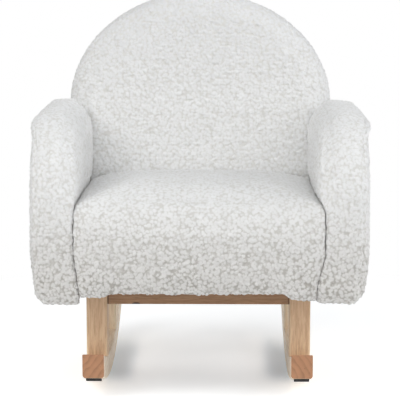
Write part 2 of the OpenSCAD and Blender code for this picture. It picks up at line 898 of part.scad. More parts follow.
// Children along the arm bolts, with +Z running outward from x
module at_arm_bolts(x) {
    for (side = sides, y = arm_bolt_ys) mirror([side < 0 ? 1 : 0, 0, 0])
        translate([x, y, arm_bolt_z]) rotate([0, 90, 0]) children();
}

module arm_bolts() {
    at_arm_bolts(arm_seat_x) bolt(arm_reach_x);
}

module arm_washers() {
    at_arm_bolts(arm_seat_x) washer();
}

module arm_tee_nuts() {
    at_arm_bolts(arm_mid_x + panel_x) tee_nut();
}

rocker(-1);  // rocker_left
rocker(1);  // rocker_right
front_leg(-1);  // front_leg_left
front_leg(1);  // front_leg_right
rear_leg(-1);  // rear_leg_left
rear_leg(1);  // rear_leg_right
cross_rail(front_rail_mid);  // front_rail
cross_rail(rear_rail_mid);  // rear_rail
side_rail(-1);  // side_rail_left
side_rail(1);  // side_rail_right
leg_dowels();
rail_dowels();
stop_pads();
base_bolts();
base_washers();
base_inserts();
seat_frame_front();
seat_frame_rear();
seat_frame_side(-1);  // seat_frame_left
seat_frame_side(1);  // seat_frame_right
seat_corner_blocks();
seat_deck();
seat_foam();
seat_cover();
dust_cover();
back_frame();
back_webbing();
back_foam();
back_wadding();
back_cover();
back_bolts();
back_washers();
back_tee_nuts();
arm_panel(-1);  // arm_panel_left
arm_panel(1);  // arm_panel_right
arm_foam_inner(-1);  // arm_foam_inner_left
arm_foam_inner(1);  // arm_foam_inner_right
arm_foam_outer(-1);  // arm_foam_outer_left
arm_foam_outer(1);  // arm_foam_outer_right
arm_cover(-1);  // arm_cover_left
arm_cover(1);  // arm_cover_right
arm_bolts();
arm_washers();
arm_tee_nuts();
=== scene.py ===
"""Child's rocking chair: four blocks covered in curly pile fabric on a wooden rocker base.

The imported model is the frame. The upholstered blocks with their edge seams and the stapled dust
cloth are built here. The wooden base, the inner frames and the fasteners are the frame's own
nodes with procedural materials. The chair faces -Y and stands on z = 0. Lengths in the helpers
are in millimetres, those of Blender's objects and materials are in metres.
"""
import math
import bpy
import numpy as np
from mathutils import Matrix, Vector


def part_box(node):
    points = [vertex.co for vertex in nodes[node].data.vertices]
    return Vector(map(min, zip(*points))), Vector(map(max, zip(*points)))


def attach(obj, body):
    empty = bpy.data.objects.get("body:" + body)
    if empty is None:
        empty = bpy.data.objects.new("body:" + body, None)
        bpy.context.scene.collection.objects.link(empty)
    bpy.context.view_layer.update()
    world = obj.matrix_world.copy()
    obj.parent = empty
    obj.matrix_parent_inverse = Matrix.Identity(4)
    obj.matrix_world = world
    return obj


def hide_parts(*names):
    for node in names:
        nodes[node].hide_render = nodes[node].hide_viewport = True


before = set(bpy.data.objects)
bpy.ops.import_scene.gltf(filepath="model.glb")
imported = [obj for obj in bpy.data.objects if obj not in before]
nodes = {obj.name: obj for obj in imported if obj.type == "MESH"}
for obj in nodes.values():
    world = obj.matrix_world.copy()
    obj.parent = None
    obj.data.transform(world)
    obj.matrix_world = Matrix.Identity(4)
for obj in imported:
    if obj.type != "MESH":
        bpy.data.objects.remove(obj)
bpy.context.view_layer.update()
scene = bpy.context.scene
MM = 0.001


# Sizes in mm, most of them taken from the frame
def box_mm(name):
    """Low and high corner of a node's box."""
    lo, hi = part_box(name)
    return np.array(lo) / MM, np.array(hi) / MM


SEAT_LO, SEAT_HI = box_mm("seat_cover")
BACK_LO, BACK_HI = box_mm("back_cover")
ARM_LO, ARM_HI = box_mm("arm_cover_right")
DUST_LO, DUST_HI = box_mm("dust_cover")
RAIL_LO = box_mm("front_rail")[0]
GAP = 0.3  # kept between a block and its neighbour

# The back is an arched slab that leans
LEAN = math.radians(10)
BACK_T = 82  # thickness
BACK_EDGE = 35  # radius of the edges around its faces
BACK_SWELL = 4  # how far its faces swell
BACK_HALF = 220  # half width
BACK_ARCH = 187  # height of the arch
BACK_CORNER = 44  # radius of the low corners
EDGE_FLAT = BACK_T / 2 - BACK_EDGE
BACK_Z = BACK_LO[2] + BACK_EDGE * (1 - math.cos(LEAN)) + EDGE_FLAT * math.sin(LEAN)
BACK_RISE = BACK_HI[2] - BACK_Z - BACK_EDGE - EDGE_FLAT * math.sin(LEAN)
BACK_L = BACK_EDGE + BACK_RISE / math.cos(LEAN)
BACK_Y = BACK_HI[1] - BACK_EDGE - EDGE_FLAT * math.cos(LEAN) - BACK_RISE * math.tan(LEAN)
REAR = np.array([0, math.cos(LEAN), -math.sin(LEAN)])  # the way its rear faces

# The seat
SEAT_FLOOR = SEAT_LO[2] + GAP  # height of its underside
SEAT_LOW_ROUND = 14  # height of its lower edge's rounding
SEAT_CROWN = 18  # rise of its top between the edges
SEAT_BOW = 4  # how far its front bows out
SEAT_DIP = 6.0  # how far its top falls towards the back
FRONT_LIFT = 3.0  # rise of its underside at the front edge

# The arms
ARM_SWELL = 2  # how far their faces swell
ARM_CORNERS = [26, 26, 26, 128]  # from the side: lower front, lower rear, upper rear, upper front
SEAM_EDGE = 2.5  # inner edge where the seat meets it
INNER_EDGE, INNER_EDGE_TOP = 27, 34  # inner edge above the seat, and at the top
OUTER_EDGE, OUTER_EDGE_TOP = 23, 17
ARM_X = 218  # middle of an arm's crown
LEAN_OUT = {-1: (-5.2, 6.0), 1: (0.9, 8.0)}  # outer face by side: all of it, its shoulder
CONTACT = (ARM_LO[0] + SEAT_HI[0]) / 2  # the seam between the seat and an arm
CONTACT_TOP = 306  # above this height an arm is free of the seat
SEAM_GAP = 0.2  # kept from that seam before the pressure
CURL_GAP = 0.07  # kept from it by the finished curls

# The fabric
INSET = 2.2  # how far a block starts inside its solid
CAP = 4.0  # how far the pressure may push it out
CURL = 6.0  # size of its curls
CLUMP = 13  # size of its clumps of curls
HEIGHT = 3.0  # height of its curls


def lean_y(z, t):
    """Y of the plane at depth t through the back, at height z."""
    return BACK_Y + (z - BACK_Z) * math.tan(LEAN) + t / math.cos(LEAN)


def smooth(lo, hi, v):
    """0 where v is lo, 1 where it is hi and smooth between them; lo may be the larger."""
    t = np.clip((v - lo) / (hi - lo), 0, 1)
    return t * t * (3 - 2 * t)


# Outlines and skins
def fillet(p, q, s, r, e, n):
    """Arc that rounds corner q between p and s, after all edges move in by e."""
    p, q, s = (np.array(v, float) for v in (p, q, s))
    into, out = (q - p) / np.linalg.norm(q - p), (s - q) / np.linalg.norm(s - q)
    half = math.acos(-into @ out) / 2
    round_r = max(r - e, e / 3, 0.5)
    side = (out - into) / np.linalg.norm(out - into)
    centre = q + side * (e + round_r) / math.sin(half)
    start, turn = math.atan2(-into[0], into[1]), math.acos(into @ out)
    a = start + turn * np.arange(n + 1) / n
    return centre + round_r * np.stack([np.cos(a), np.sin(a)], 1)


def outline(corners, radii, e, steps=10, mids=8):
    """Closed outline through rounded corners, with extra points on each straight."""
    n = len(corners)
    arcs = []
    for i in range(n):
        arcs.append(fillet(corners[i - 1], corners[i], corners[(i + 1) % n], radii[i], e, steps))
    rows = []
    for i in range(n):
        a, b = arcs[i][-1], arcs[(i + 1) % n][0]
        rows += [arcs[i], a + (b - a) * (np.arange(1, mids + 1) / (mids + 1))[:, None]]
    return np.concatenate(rows)


def slab_stations(t, r, swell, reach, n=12, face_rings=6):
    """Stations [inset, depth] across a slab with rounded edges and a swell on its faces."""
    a = np.linspace(0, math.pi / 2, n + 1)
    rim = np.stack([r * (1 - np.sin(a)), t / 2 - r + r * np.cos(a)], 1)
    u = np.linspace(1, 0, face_rings, endpoint=False)
    face = np.stack([r + (reach - r) * u, t / 2 + swell * (1 - (1 - u) ** 2)], 1)
    half = np.concatenate([face, rim])
    return np.concatenate([half * [1, -1], half[::-1]])


def new_object(name, points, faces, material=None):
    """A mesh object from points in mm and faces."""
    mesh = bpy.data.meshes.new(name)
    mesh.from_pydata((np.array(points) * MM).tolist(), [], faces)
    mesh.update()
    if material:
        mesh.materials.append(material)
    obj = bpy.data.objects.new(name, mesh)
    scene.collection.objects.link(obj)
    return obj


def skin(name, rings):
    """A closed object through rings of equal length, with a fan on each end."""
    n, count = len(rings[0]), len(rings)
    points = np.concatenate(list(rings) + [rings[0].mean(0)[None], rings[-1].mean(0)[None]])
    first, last = count * n, count * n + 1
    faces = []
    for i in range(n):
        j = (i + 1) % n
        faces.append((first, j, i))
        faces.append((last, (count - 1) * n + i, (count - 1) * n + j))
        for k in range(count - 1):
            faces.append((k * n + i, k * n + j, (k + 1) * n + j, (k + 1) * n + i))
    return new_object(name, points, faces)


def seat_rings():
    """The seat block: its front edge is rounded widely, its side and rear edges are fuller."""
    half, front, top_z = SEAT_HI[0], SEAT_LO[1] + SEAT_BOW, SEAT_HI[2] - SEAT_CROWN
    round_z = SEAT_FLOOR + SEAT_LOW_ROUND
    # Insets and heights as columns: front, side, rear
    low_in, top_in = np.array([SEAT_LOW_ROUND, 5, SEAT_LOW_ROUND]), np.array([45.0, 20.0, 20.0])
    wall_z = np.array([261.0, 293.0, 290.0])
    last_in = 120
    stations = []
    for a in np.linspace(0, math.pi / 2, 8):
        level = SEAT_FLOOR + SEAT_LOW_ROUND * (1 - math.cos(a))
        stations.append((low_in * (1 - math.sin(a)), np.full(3, level)))
    for u in np.linspace(0, 1, 14)[1:-1]:
        stations.append((np.zeros(3), round_z + (wall_z - round_z) * u))
    for a in np.linspace(0, math.pi / 2, 16):
        stations.append((top_in * (1 - math.cos(a)), wall_z + (top_z - wall_z) * math.sin(a)))
    for u in np.linspace(0, 1, 9)[1:]:
        level = top_z + SEAT_CROWN * (1 - (1 - u) ** 2)
        stations.append((top_in + (last_in - top_in) * u, np.full(3, level)))
    rings = []
    for e, z in stations:
        rear = lean_y(z[2], -(BACK_T / 2 + BACK_SWELL + GAP)) - e[2]
        x, y = half - e[1], front + e[0]
        radii = [max(2.5 - min(e[0], e[1]), 2)] * 2 + [max(8 - min(e[1], e[2]), 4)] * 2
        ring = outline([(-x, y), (x, y), (x, rear), (-x, rear)], radii, 0, 8, 12)
        step = np.roll(ring, -1, 0) - np.roll(ring, 1, 0)
        step /= np.linalg.norm(step, axis=1)[:, None]
        facing = [np.maximum(step[:, 0], 0), np.abs(step[:, 1]), np.maximum(-step[:, 0], 0)]
        level = np.stack(facing, 1) ** 2 @ z
        near = ring[:, 1] < y + 26
        ring[near, 1] -= SEAT_BOW * np.clip(1 - (ring[near, 0] / x) ** 2, 0, 1)
        dip = SEAT_DIP * smooth(-120, 60, ring[:, 1]) * smooth(wall_z[2] - 20, top_z, level)
        rings.append(np.column_stack([ring, level - dip]))
    return rings


def arm_rings(side):
    """An arm: a slab with round edges, the inner one tight where the seat's side meets it."""
    mid = (ARM_LO[0] + ARM_HI[0]) / 2
    half = (ARM_HI[0] - ARM_LO[0]) / 2 - ARM_SWELL
    rear = BACK_T / 2 + GAP
    front, low, top = ARM_LO[1], ARM_LO[2], ARM_HI[2]
    corners = [(front, low), (lean_y(low, -rear), low), (lean_y(top, -rear), top), (front, top)]
    last_in = 100

    def loop(e):
        return outline(corners, ARM_CORNERS, e, 14, 8)

    def strip(way, r):
        """Loops over one face and its edge of radius r; way is -1 for the inner face."""
        rows = []
        for u in np.linspace(1, 0, 6, endpoint=False):
            rows.append((r + (last_in - r) * u, way * (half + ARM_SWELL * (1 - (1 - u) ** 2))))
        for a in np.linspace(0, math.pi / 2, 11):
            rows.append((r * (1 - math.sin(a)), way * (half - r + r * math.cos(a))))
        loops = []
        for e, x in rows[::-way]:
            yz = loop(e)
            loops.append(np.column_stack([np.full(len(yz), side * (mid + x)), yz]))
        return np.array(loops)

    y, z = loop(0).T
    before = np.maximum(smooth(90, 60, y), smooth(395, 422, z))
    above = (smooth(297, 333, z) * before)[None, :, None]
    up = smooth(360, 430, z)[None, :, None]
    free = strip(-1, INNER_EDGE) * (1 - up) + strip(-1, INNER_EDGE_TOP) * up
    inner = strip(-1, SEAM_EDGE) * (1 - above) + free * above
    outer = strip(1, OUTER_EDGE) * (1 - up) + strip(1, OUTER_EDGE_TOP) * up
    rings = list(np.concatenate([inner, outer]))
    return rings if side > 0 else rings[::-1]


def back_rings():
    """The back: an arched slab with rounded edges, turned by its lean."""
    spring = BACK_L - BACK_ARCH
    low_turn = np.radians(np.linspace(180, 270, 15))
    arch_turn = np.linspace(0, math.pi, 60)
    c, s = math.cos(LEAN), math.sin(LEAN)
    rings = []
    for e, y in slab_stations(BACK_T, BACK_EDGE, BACK_SWELL, 150):
        a, b, r = BACK_HALF - e, BACK_ARCH - e, max(BACK_CORNER - e, e / 3, 0.5)
        left = np.stack([r - a + r * np.cos(low_turn), e + r + r * np.sin(low_turn)], 1)
        right = (left * [-1, 1])[::-1]
        base = np.linspace(left[-1, 0], right[0, 0], 16)[1:-1]
        base = np.stack([base, np.full(len(base), e)], 1)
        up = np.linspace(right[-1, 1], spring, 10)[1:-1]
        rise = np.stack([np.full(len(up), a), up], 1)
        top = np.stack([a * np.cos(arch_turn), spring + b * np.sin(arch_turn)], 1)
        ring = np.concatenate([left, base, right, rise, top, rise[::-1] * [-1, 1]])
        depth = min(-y, BACK_T / 2)
        x, z = ring.T
        rings.append(np.column_stack([x, BACK_Y + depth * c + z * s, BACK_Z - depth * s + z * c]))
    return rings


# Numbers from positions
def rand(cell, seed):
    """A number from 0 to 1 for each whole-number cell."""
    c = cell.astype(np.int64).astype(np.uint32)
    h = c[..., 0] * np.uint32(0x8DA6B343)
    h ^= c[..., 1] * np.uint32(0xD8163841)
    h ^= c[..., 2] * np.uint32(0xCB1AB31F)
    h ^= np.uint32((seed * 0x9E3779B1) & 0xFFFFFFFF)
    for shift, factor in ((16, 0x7FEB352D), (15, 0x846CA68B), (16, 1)):
        h ^= h >> np.uint32(shift)
        h = h * np.uint32(factor)
    return h.astype(np.float64) / 0xFFFFFFFF


def noise(p, size, seed):
    """Smooth noise from -1 to 1 over points p, with features of that size."""
    q = p / size
    base = np.floor(q)
    f = q - base
    f = f * f * (3 - 2 * f)
    total = np.zeros(len(p))
    for corner in np.ndindex(2, 2, 2):
        w = np.prod(np.where(corner, f, 1 - f), axis=1)
        total += w * rand(base + corner, seed)
    return total * 2 - 1


def noise3(p, size, seed):
    """Noise in three directions."""
    return np.stack([noise(p, size, seed + k) for k in range(3)], 1)


def cells(p, size, seed):
    """Worley cells: the gaps from the nearest centre to the second and third, the cell's own
    number, the way to its centre."""
    q = p / size
    base = np.floor(q)
    best, second, third = (np.full(len(p), 1e9) for _ in range(3))
    own = np.zeros(len(p))
    way = np.zeros((len(p), 3))
    for offset in np.ndindex(3, 3, 3):
        cell = base + offset - 1
        to = cell + np.stack([rand(cell, seed + s) for s in range(3)], 1) - q
        d = np.linalg.norm(to, axis=1)
        nearer = d < best
        third = np.minimum(third, np.maximum(second, d))
        second = np.minimum(second, np.maximum(best, d))
        best = np.where(nearer, d, best)
        own = np.where(nearer, rand(cell, seed + 3), own)
        way = np.where(nearer[:, None], to * size, way)
    return second - best, third - best, own, way


# Upholstery
def vertex_values(mesh, key):
    """A vector for each vertex."""
    values = np.empty(len(mesh.vertices) * 3)
    mesh.vertices.foreach_get(key, values)
    return values.reshape(-1, 3)


def points_of(mesh):
    """Its vertices in mm."""
    return vertex_values(mesh, "co") / MM


def normals_of(mesh):
    """Its vertices' normals."""
    return vertex_values(mesh, "normal")


def set_points(mesh, p):
    """Moves its vertices to these places in mm."""
    mesh.vertices.foreach_set("co", (p * MM).astype(np.float32).ravel())
    mesh.update()


def evaluated(obj):
    """The object as its modifiers make it."""
    return obj.evaluated_get(bpy.context.evaluated_depsgraph_get())


def apply_modifiers(obj):
    """Replaces an object's mesh with what its modifiers make of it."""
    made = bpy.data.meshes.new_from_object(evaluated(obj))
    obj.modifiers.clear()
    obj.data = made


def remesh(obj, voxel):
    """Even faces of about that size in mm."""
    m = obj.modifiers.new("Remesh", "REMESH")
    m.mode = "VOXEL"
    m.voxel_size = voxel * MM
    apply_modifiers(obj)


def subdivide(obj):
    """Splits every face into four, smoothly."""
    m = obj.modifiers.new("Subdivision", "SUBSURF")
    m.levels = m.render_levels = 1
    apply_modifiers(obj)


def inflate(obj, hold, cap):
    """Cloth under pressure; hold is 1 where a point is sewn or stapled down, cap the furthest
    it may move."""
    rest, out = points_of(obj.data), normals_of(obj.data)
    group = obj.vertex_groups.new(name="held")
    for level in range(1, 11):
        picked = np.nonzero(np.round(hold * 10) == level)[0]
        group.add(picked.tolist(), level / 10, "REPLACE")
    m = obj.modifiers.new("Cloth", "CLOTH")
    s = m.settings
    s.quality = 4
    s.mass = 0.25
    s.tension_stiffness = s.compression_stiffness = 12
    s.bending_stiffness = 0.8
    s.use_pressure = True
    s.uniform_pressure_force = 4
    s.effector_weights.gravity = 0
    s.vertex_group_mass = "held"
    s.pin_stiffness = 1
    m.point_cache.frame_start, m.point_cache.frame_end = 1, 20
    for f in range(1, 21):
        scene.frame_set(f)
    moved = points_of(evaluated(obj).data) - rest
    obj.modifiers.clear()
    scene.frame_set(1)
    rise = np.sum(moved * out, axis=1)
    aside = moved - out * rise[:, None]
    length = np.linalg.norm(aside, axis=1)
    aside *= (np.minimum(length, 0.3 * cap) / np.maximum(length, 1e-6))[:, None]
    moved = out * np.clip(rise, -0.25 * cap, cap)[:, None] + aside
    set_points(obj.data, rest + moved * (1 - hold)[:, None])


def add_pile(obj, seed, seam, quiet, fringe):
    """Curly pile: lumps with narrow valleys, pressed down where quiet is 1, drawn in along seams
    (seam is the distance from one) and longer where fringe is 1. How high a point lies on its
    curl goes into the attribute "pile"."""
    mesh = obj.data
    p, n = points_of(mesh), normals_of(mesh)
    q = p + 1.2 * noise3(p, 9, seed) + 0.5 * noise3(p, 3.6, seed + 10)
    gap, pit, own, way = cells(q, CURL, seed + 20)
    t = smooth(0, 0.5, gap)
    lump = 0.45 * t * (2 - t) + 0.55 * smooth(0, 0.75, pit)
    clump_gap, _, clump_own, _ = cells(q, CLUMP, seed + 40)
    clump = smooth(0, 0.5, clump_gap)
    small = smooth(0, 0.6, cells(q, 3.2, seed + 60)[1])
    level = 0.62 + 0.38 * own
    # The pile is looser low down, and flatter on top
    amount = HEIGHT * (1 - 0.84 * quiet) * (1 + 0.12 * noise(p, 45, seed + 70))
    amount *= (1 + 0.25 * smooth(290, 200, p[:, 2])) * (1 - 0.3 * np.clip(n[:, 2], 0, 1))
    h = amount * (0.8 * lump * level + 0.14 * small + 0.06 * clump * clump_own)
    h += fringe * 2.2 * clump * (clump_own - 0.15)
    h -= 2.2 * np.exp(-((seam / 3.2) ** 2))
    # A curl is wider than its foot, and hangs a little
    around = -way - n * np.sum(-way * n, axis=1)[:, None]
    spread = 0.16 * (t * (1 - t) * 4)[:, None] * around * (1 - quiet)[:, None]
    hang = np.zeros_like(p)
    hang[:, 2] = -0.22 * h * (1 - np.abs(n[:, 2])) * (1 - quiet)
    set_points(mesh, p + n * h[:, None] + spread + hang)
    tone = np.clip(lump * (0.75 + 0.25 * level) * (0.8 + 0.2 * small), 0, 1)
    attribute = mesh.attributes.new("pile", "FLOAT", "POINT")
    attribute.data.foreach_set("value", tone.astype(np.float32))
    mesh.shade_smooth()


def padded_piece(obj, node_names):
    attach(obj, "root")
    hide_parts(*node_names)
    obj.data.materials.clear()
    obj.data.materials.append(FLEECE)


# Materials
class Graph:
    """A short way to write a material's nodes."""

    def __init__(self, name):
        self.mat = bpy.data.materials.new(name)
        self.mat.use_nodes = True
        self.tree = self.mat.node_tree
        self.tree.nodes.clear()
        self.out = self.tree.nodes.new("ShaderNodeOutputMaterial")

    def put(self, socket, value):
        if hasattr(value, "links"):
            self.tree.links.new(value, socket)
        elif isinstance(value, tuple) and socket.type == "RGBA" and len(value) == 3:
            socket.default_value = (*value, 1)
        else:
            socket.default_value = value

    def node(self, kind, inputs=(), **settings):
        made = self.tree.nodes.new("ShaderNode" + kind)
        for key, value in settings.items():
            setattr(made, key, value)
        for key, value in dict(inputs).items():
            self.put(made.inputs[key], value)
        return made

    def math(self, operation, a, b=0.0, clamp=False):
        made = self.node("Math", {0: a, 1: b}, operation=operation, use_clamp=clamp)
        return made.outputs[0]

    def vector(self, operation, a, b=(0.0, 0.0, 0.0)):
        return self.node("VectorMath", {0: a, 1: b}, operation=operation).outputs[0]

    def length(self, a):
        return self.node("VectorMath", {0: a}, operation="LENGTH").outputs["Value"]

    def xyz(self, a):
        return tuple(self.node("SeparateXYZ", {0: a}).outputs)

    def scaled(self, a, x, y, z):
        return self.vector("MULTIPLY", a, (x, y, z))

    def ramp(self, fac, lo, hi, to_lo=0.0, to_hi=1.0):
        values = {"Value": fac, "From Min": lo, "From Max": hi, "To Min": to_lo, "To Max": to_hi}
        return self.node("MapRange", values, interpolation_type="SMOOTHSTEP").outputs["Result"]

    def mix(self, fac, a, b):
        made = self.node("Mix", data_type="RGBA")
        self.put(made.inputs[0], fac)
        self.put(made.inputs[6], a)
        self.put(made.inputs[7], b)
        return made.outputs[2]

    def noise(self, vector, scale, detail=3.0, rough=0.55, distortion=0.0):
        values = {"Vector": vector, "Scale": scale, "Detail": detail, "Roughness": rough}
        return self.node("TexNoise", {**values, "Distortion": distortion}).outputs[0]

    def voronoi(self, vector, scale, randomness=1.0):
        values = {"Vector": vector, "Scale": scale, "Randomness": randomness}
        return self.node("TexVoronoi", values).outputs["Distance"]

    def place(self):
        return self.node("TexCoord").outputs["Object"]

    def bump(self, height, distance, strength=1.0, normal=None):
        values = {"Height": height, "Distance": distance, "Strength": strength}
        if normal is not None:
            values["Normal"] = normal
        return self.node("Bump", values).outputs[0]

    def surface(self, **inputs):
        shader = self.node("BsdfPrincipled", {k.replace("_", " "): v for k, v in inputs.items()})
        self.tree.links.new(shader.outputs[0], self.out.inputs[0])
        return self.mat


def shaded(color, factor):
    """A colour times a factor, no brighter than 1."""
    return tuple(min(1.0, factor * c) for c in color)


def fleece():
    """The curly pile fabric: pale curls over warmer, darker valleys, which paint shade and bounce
    light in the hollows, and which are painted darker low down.
    """
    g = Graph("curly_fleece")
    at = g.place()
    pile = g.node("Attribute", attribute_name="pile").outputs["Fac"]
    z = g.xyz(at)[2]
    warp = g.node("TexNoise", {"Vector": at, "Scale": 110.0, "Detail": 2.0}).outputs["Color"]
    warp = g.scaled(g.vector("SUBTRACT", warp, (0.5, 0.5, 0.5)), 0.005, 0.005, 0.005)
    far = g.voronoi(g.vector("ADD", at, warp), 200.0, 0.9)
    dome = g.math("SUBTRACT", 1.0, g.math("MULTIPLY", far, far))
    curl = g.noise(at, 420.0, 4.0, 0.6, 1.6)
    depth = g.math("MULTIPLY", g.ramp(far, 0.9, 0.3), 0.75)
    depth = g.math("ADD", g.math("MULTIPLY", pile, 0.25), depth)
    fine = g.math("MULTIPLY", g.math("SUBTRACT", curl, 0.5), 0.5)
    depth = g.math("ADD", depth, fine, clamp=True)
    # Painted shade: the valleys are painted darker and warmer below 340 mm, down to 170 mm
    valley = g.mix(g.ramp(z, 0.17, 0.34), (0.46, 0.435, 0.40), (0.78, 0.77, 0.745))
    patches = g.ramp(g.noise(at, 18.0, 2.0), 0.3, 0.7, 0.0, 0.3)
    valley = g.mix(patches, valley, (0.80, 0.79, 0.77))
    cloud = g.ramp(g.noise(at, 60.0, 3.0), 0.3, 0.7)
    tip = g.mix(cloud, (0.89, 0.89, 0.89), (0.915, 0.917, 0.92))
    # Painted shade: the tips are painted darker and warmer below 340 mm, and a little darker and
    # cooler above 420 mm
    tip = g.mix(g.ramp(z, 0.34, 0.17), tip, (0.79, 0.777, 0.76))
    tip = g.mix(g.ramp(z, 0.42, 0.58), tip, (0.83, 0.832, 0.84))
    # The valley colour in the hollows between curls is painted shade and warm bounce light
    color = g.mix(g.ramp(depth, 0.05, 0.85), valley, tip)
    fibre = g.math("MULTIPLY", g.noise(at, 1300.0, 2.0, 0.6, 0.8), 0.4)
    normal = g.bump(g.math("ADD", curl, fibre), 0.0012, 0.5, g.bump(dome, 0.0022, 0.55))
    return g.surface(
        Base_Color=color, Roughness=0.95, Normal=normal, Specular_IOR_Level=0.1,
        Sheen_Weight=0.25, Sheen_Roughness=0.5, Sheen_Tint=(1.0, 1.0, 1.0),
    )


def wood(name, axis, pale, deep, end, shift, ring=0.0055, shade=0.0, knot=None):
    """Timber with its length along that axis; every face is cut from one solid field of rings.
    end is the end grain's colour, shift moves the heart of the tree, ring is the width of a year
    ring. shade paints the seat's shadow, as darker colour, on the upper end of a leg. knot is the
    place of a small dark knot in a rail, whose joints with the legs show as dark lines as well."""
    g = Graph(name)
    at = g.place()
    x, y, z = g.xyz(at)
    across = {0: (y, z, x), 1: (x, z, y), 2: (x, y, z)}[axis]
    turned = g.node("CombineXYZ", dict(enumerate(across))).outputs[0]
    slow = g.scaled(turned, 1.0, 1.0, 0.25)

    # Year rings around a wandering heart
    a = g.math("ADD", across[0], shift[0])
    b = g.math("ADD", across[1], shift[1])
    radius = g.math("SQRT", g.math("ADD", g.math("MULTIPLY", a, a), g.math("MULTIPLY", b, b)))
    for scale, swing in ((9.0, 0.022), (34.0, 0.011), (150.0, 0.0018)):
        wander = g.math("MULTIPLY", g.noise(slow, scale, 2.0, 0.5), swing)
        radius = g.math("ADD", radius, wander)
    phase = g.math("FRACT", g.math("DIVIDE", radius, ring))
    late = g.math("MULTIPLY", g.ramp(phase, 0.3, 0.9), g.ramp(phase, 1.0, 0.93))

    # Long grain
    fibres = g.noise(g.scaled(turned, 1.0, 1.0, 0.035), 1100.0, 3.0, 0.6)
    flames = g.noise(g.scaled(turned, 1.0, 1.0, 0.10), 380.0, 3.0, 0.6, 0.5)
    streaks = g.noise(g.scaled(turned, 1.0, 1.0, 0.05), 120.0, 3.0, 0.5)
    dashes = g.voronoi(g.scaled(turned, 1.0, 1.0, 0.12), 620.0)
    porous = g.ramp(g.noise(slow, 70.0, 2.0), 0.42, 0.62)
    pores = g.math("MULTIPLY", g.ramp(dashes, 0.2, 0.06), porous)
    flecks = g.ramp(g.voronoi(g.scaled(turned, 1.0, 0.45, 0.3), 420.0), 0.16, 0.05)
    color = g.mix(g.math("MULTIPLY", late, 0.4), pale, deep)
    color = g.mix(g.ramp(streaks, 0.35, 0.7, 0.0, 0.5), color, deep)
    color = g.mix(g.ramp(flames, 0.44, 0.64, 0.0, 0.7), color, shaded(deep, 0.88))
    color = g.mix(g.ramp(flames, 0.46, 0.32, 0.0, 0.45), color, shaded(pale, 1.1))
    color = g.mix(g.ramp(fibres, 0.4, 0.75, 0.0, 0.28), color, deep)
    color = g.mix(g.math("MULTIPLY", pores, 0.5), color, shaded(deep, 0.55))
    color = g.mix(g.math("MULTIPLY", flecks, 0.3), color, shaded(deep, 0.75))

    # End grain on the faces that cut the length
    normal = g.node("TexCoord").outputs["Normal"]
    cut = g.ramp(g.math("ABSOLUTE", g.xyz(normal)[axis]), 0.75, 0.95)
    cloud = g.ramp(g.noise(turned, 90.0, 3.0), 0.35, 0.7, 0.0, 0.4)
    dots = g.math("MULTIPLY", g.ramp(g.voronoi(turned, 700.0), 0.24, 0.1), 0.3)
    pits = g.math("MULTIPLY", g.ramp(g.voronoi(turned, 130.0), 0.13, 0.07), 0.6)
    grain = g.mix(g.math("MULTIPLY", late, 0.8), end, shaded(end, 0.72))
    grain = g.mix(cloud, grain, shaded(end, 1.18))
    grain = g.mix(dots, grain, shaded(end, 0.6))
    grain = g.mix(pits, grain, shaded(end, 0.45))
    color = g.mix(cut, color, grain)

    # Lighter rounded edges: a painted highlight along them
    parts = g.xyz(g.vector("ABSOLUTE", normal))
    flat = g.math("MAXIMUM", g.math("MAXIMUM", parts[0], parts[1]), parts[2])
    color = g.mix(g.ramp(flat, 0.93, 0.8, 0.0, 0.4), color, shaded(pale, 1.14))

    # Painted shade: the seat's shadow on the upper end of a leg, as darker colour
    if shade:
        color = g.mix(g.ramp(z, 0.035, 0.145, 0.0, shade), color, shaded(deep, 0.6))
    if knot:
        away = g.length(g.scaled(g.vector("SUBTRACT", at, knot), 1.0, 0.5, 2.2))
        spot = g.math("MULTIPLY", g.ramp(away, 0.0075, 0.0055), 0.9)
        color = g.mix(spot, color, (0.05, 0.03, 0.02))
        end_x = -RAIL_LO[0] * MM
        joint = g.ramp(g.math("ABSOLUTE", x), end_x - 0.003, end_x - 0.001, 0.0, 0.7)
        color = g.mix(joint, color, (0.1, 0.055, 0.03))
    hollow = g.math("ADD", pores, g.math("MULTIPLY", late, 0.3))
    relief = g.math("SUBTRACT", g.math("MULTIPLY", fibres, 0.5), hollow)
    return g.surface(
        Base_Color=color, Normal=g.bump(relief, 0.0002, 0.5), Specular_IOR_Level=0.4,
        Roughness=g.ramp(fibres, 0.3, 0.8, 0.42, 0.6),
    )


def plywood():
    """Birch plywood, with its plies on every cut edge."""
    g = Graph("birch_plywood")
    at = g.place()
    x, y, z = g.xyz(at)
    ply = 0.0036
    plies = g.math("FRACT", g.math("DIVIDE", g.math("ADD", x, g.math("ADD", y, z)), ply))
    fibres = g.noise(g.scaled(at, 1.0, 0.06, 0.3), 700.0, 3.0, 0.6)
    figure = g.noise(g.scaled(at, 1.0, 0.2, 0.5), 40.0, 3.0, 0.5, 1.0)
    color = g.mix(g.ramp(figure, 0.35, 0.7), (0.72, 0.55, 0.34), (0.62, 0.44, 0.25))
    color = g.mix(g.ramp(fibres, 0.4, 0.7, 0.0, 0.4), color, (0.5, 0.34, 0.18))
    color = g.mix(g.ramp(plies, 0.45, 0.55, 0.0, 0.18), color, (0.4, 0.26, 0.13))
    return g.surface(Base_Color=color, Roughness=0.7, Normal=g.bump(fibres, 0.0002, 0.5))


def rubber():
    """Black rubber of the pads under the rockers' tips."""
    g = Graph("black_rubber")
    grain = g.noise(g.place(), 1500.0, 3.0, 0.6)
    color = g.mix(g.ramp(grain, 0.35, 0.7), (0.012, 0.012, 0.013), (0.03, 0.03, 0.031))
    return g.surface(Base_Color=color, Roughness=0.75, Normal=g.bump(grain, 0.0002, 0.6))


